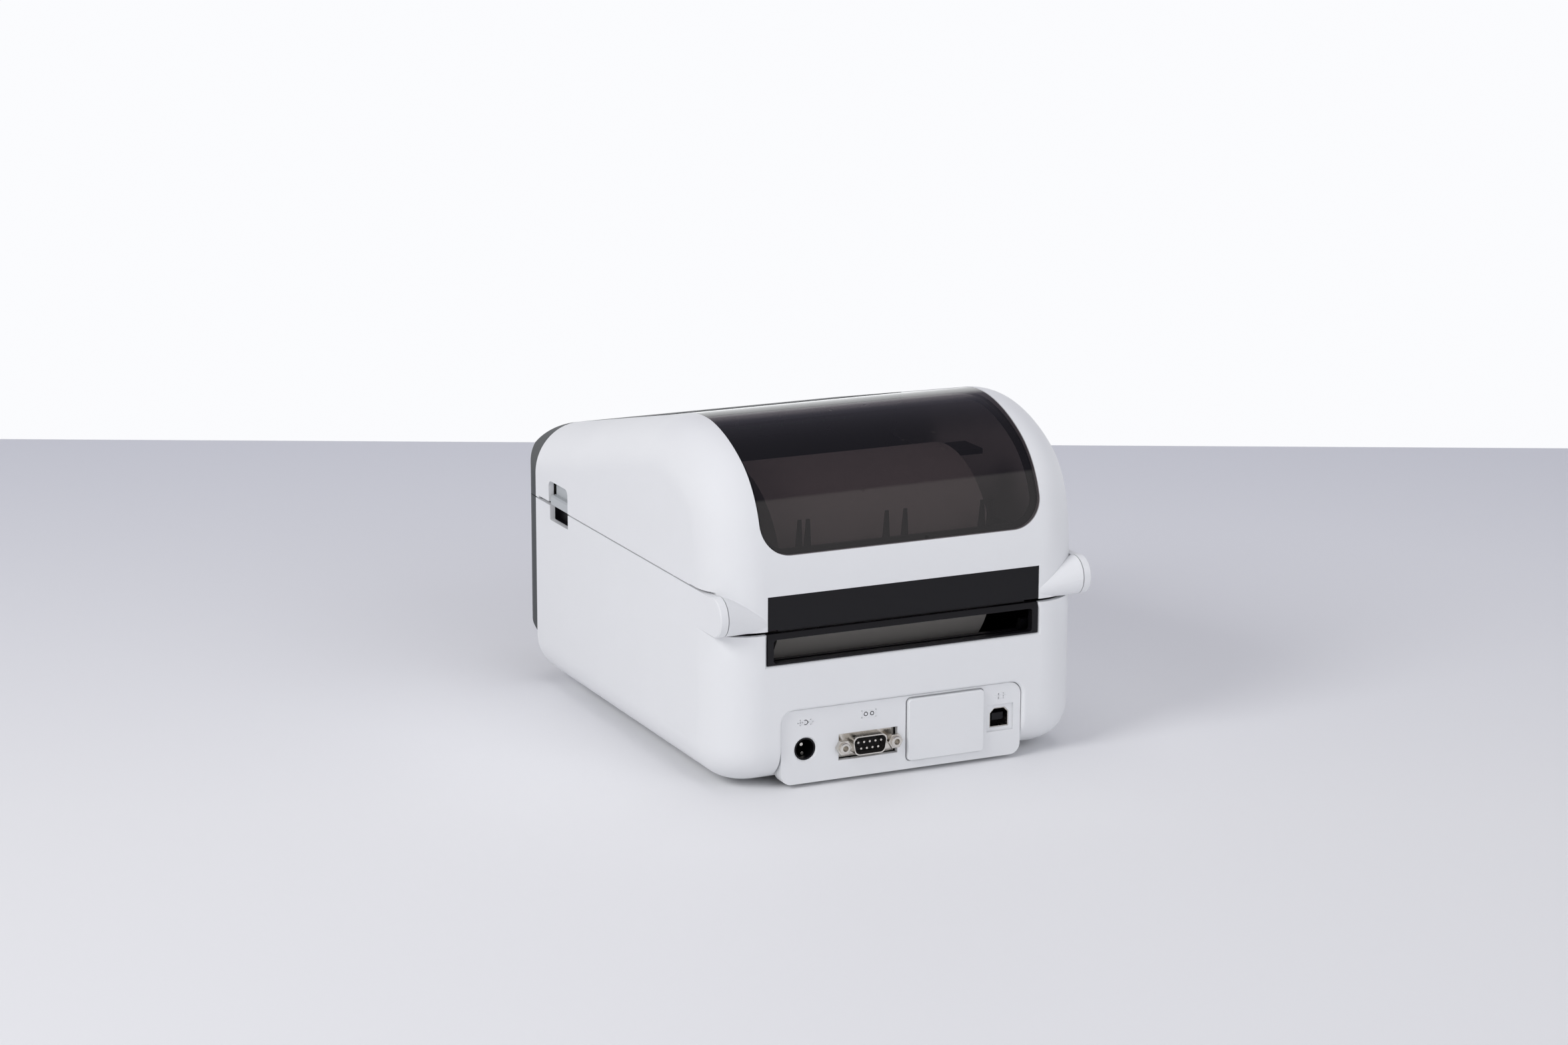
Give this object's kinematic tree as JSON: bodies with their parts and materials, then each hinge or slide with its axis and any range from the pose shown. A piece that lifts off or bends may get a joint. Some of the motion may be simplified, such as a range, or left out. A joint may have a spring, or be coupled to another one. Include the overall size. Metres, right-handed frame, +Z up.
{
  "type": "label printer",
  "caption": "Desktop thermal label printer: white case, hinged cover with smoked window, label roll, platen drive, latch levers, rear sockets and paper slot.",
  "frame": {"origin": "on the surface it stands on, under the middle of its outer box", "axes": "+Z up, labels come out towards -Y, the connectors face +Y"},
  "size_m": [0.18, 0.226, 0.1549],
  "materials": {
    "white_shell": "fine moulded texture",
    "black_plastic": "satin",
    "dark_front": "fine moulded texture",
    "grey_plastic": "moulded",
    "steel": "zinc plated",
    "foot_rubber": "moulded rubber",
    "board_green": "solder mask",
    "nickel": "nickel plated",
    "bushing_plastic": "acetal",
    "platen_rubber": "ground rubber",
    "gear_plastic": "acetal",
    "brass_gear": "machined",
    "motor_metal": "painted end caps",
    "label_paper": "coated thermal paper",
    "core_card": "wound card",
    "smoked_window": "smoked transparent plastic",
    "button_grey": "moulded",
    "light_pipe": "clear plastic",
    "head_alloy": "extruded",
    "head_ceramic": "glazed ceramic",
    "lever_grey": "moulded"
  },
  "bodies": {
    "base": {"lower_case": "white_shell", "bottom_plate": "grey_plastic", "bottom_screws": "steel", "rubber_feet": "foot_rubber", "hinge_pins": "steel", "connector_panel": "white_shell", "option_cover": "white_shell", "main_board": "board_green", "board_components": "black_plastic", "dc_jack": "black_plastic", "dc_jack_pins": "nickel", "serial_shell": "nickel", "serial_insulator": "black_plastic", "serial_pins": "nickel", "jack_screws": "nickel", "usb_shell": "nickel", "usb_insulator": "black_plastic", "rear_slot_frame": "black_plastic", "lower_front_panel": "dark_front", "media_tub": "black_plastic", "print_frame": "black_plastic", "tear_bar": "steel", "platen_bushings": "bushing_plastic", "latch_pins": "steel", "finger_pockets": "black_plastic", "sensor_rail": "steel", "gear_bracket": "steel", "stepper_motor": "motor_metal", "label_strip": "label_paper"},
    "cover": {"cover_shell": "white_shell", "window": "smoked_window", "window_bezel": "black_plastic", "rear_liner": "black_plastic", "rear_slab": "black_plastic", "top_front_panel": "dark_front", "panel_board": "board_green", "status_lights": "light_pipe", "cover_frame": "black_plastic", "web_guide_bar": "steel", "head_pivots": "steel", "head_springs": "steel"},
    "print_head": {"head_heatsink": "head_alloy", "head_strip": "head_ceramic"},
    "latch": {"latch_shaft": "steel", "lever_left": "lever_grey", "lever_right": "lever_grey", "latch_hooks": "black_plastic"},
    "power_key": {"power_button": "button_grey"},
    "feed_key": {"feed_button": "button_grey"},
    "platen": {"platen_shaft": "steel", "platen_roller": "platen_rubber", "platen_gear": "gear_plastic"},
    "idler": {"idler_gear": "gear_plastic"},
    "motor_rotor": {"motor_pinion": "brass_gear"},
    "roll": {"label_roll": "label_paper", "roll_core": "core_card"},
    "left_guide": {"guide_left": "black_plastic"},
    "right_guide": {"guide_right": "black_plastic"},
    "centring_gear": {"guide_pinion": "gear_plastic"},
    "sensor": {"sensor_carriage": "black_plastic"}
  },
  "joints": [
    {"name": "cover_hinge", "type": "hinge", "parent": "base", "child": "cover", "pos_m": [0, 0.1042, 0.0806], "axis": [-1, 0, 0], "range_deg": [0, 95]},
    {"name": "latch_turn", "type": "hinge", "parent": "cover", "child": "latch", "pos_m": [0, -0.0543, 0.099], "axis": [-1, 0, 0], "range_deg": [0, 8], "stiffness_Nm_per_rad": 0.4, "springref_deg": -17.19},
    {"name": "head_tilt", "type": "hinge", "parent": "cover", "child": "print_head", "pos_m": [0, -0.074, 0.101], "axis": [-1, 0, 0], "range_deg": [0, 2], "stiffness_Nm_per_rad": 3, "springref_deg": -5.73, "deforming": ["head_springs"]},
    {"name": "power_press", "type": "slide", "parent": "cover", "child": "power_key", "axis": [0, 0.225, -0.9744], "range_m": [0, 0.0008], "stiffness_N_per_m": 600, "springref_m": -0.0008},
    {"name": "feed_press", "type": "slide", "parent": "cover", "child": "feed_key", "axis": [0, 0.225, -0.9744], "range_m": [0, 0.0008], "stiffness_N_per_m": 600, "springref_m": -0.0008},
    {"name": "platen_spin", "type": "hinge", "parent": "base", "child": "platen", "pos_m": [0, -0.092, 0.084], "axis": [1, 0, 0], "continuous": true},
    {"name": "idler_spin", "type": "hinge", "parent": "base", "child": "idler", "pos_m": [0, -0.07582, 0.07191], "axis": [1, 0, 0], "continuous": true},
    {"name": "rotor_spin", "type": "hinge", "parent": "base", "child": "motor_rotor", "pos_m": [0, -0.066, 0.052], "axis": [1, 0, 0], "continuous": true},
    {"name": "roll_spin", "type": "hinge", "parent": "base", "child": "roll", "pos_m": [0, 0.0455, 0.084], "axis": [1, 0, 0], "continuous": true},
    {"name": "left_guide_slide", "type": "slide", "parent": "base", "child": "left_guide", "axis": [1, 0, 0], "range_m": [0, 0.006]},
    {"name": "right_guide_slide", "type": "slide", "parent": "base", "child": "right_guide", "axis": [-1, 0, 0], "range_m": [0, 0.006]},
    {"name": "centring_turn", "type": "hinge", "parent": "base", "child": "centring_gear", "pos_m": [0, 0.0455, 0.033], "axis": [0, 0, 1], "range_deg": [-36.5, 0]},
    {"name": "sensor_slide", "type": "slide", "parent": "base", "child": "sensor", "axis": [1, 0, 0], "range_m": [-0.035, 0.035]}
  ],
  "couplings": [
    {"joint": "idler_spin", "follows": "platen_spin", "ratio": -1.2308},
    {"joint": "rotor_spin", "follows": "platen_spin", "ratio": 3.5385},
    {"joint": "right_guide_slide", "follows": "left_guide_slide", "ratio": 1},
    {"joint": "centring_turn", "follows": "left_guide_slide", "rad_per_m": -105.26}
  ]
}
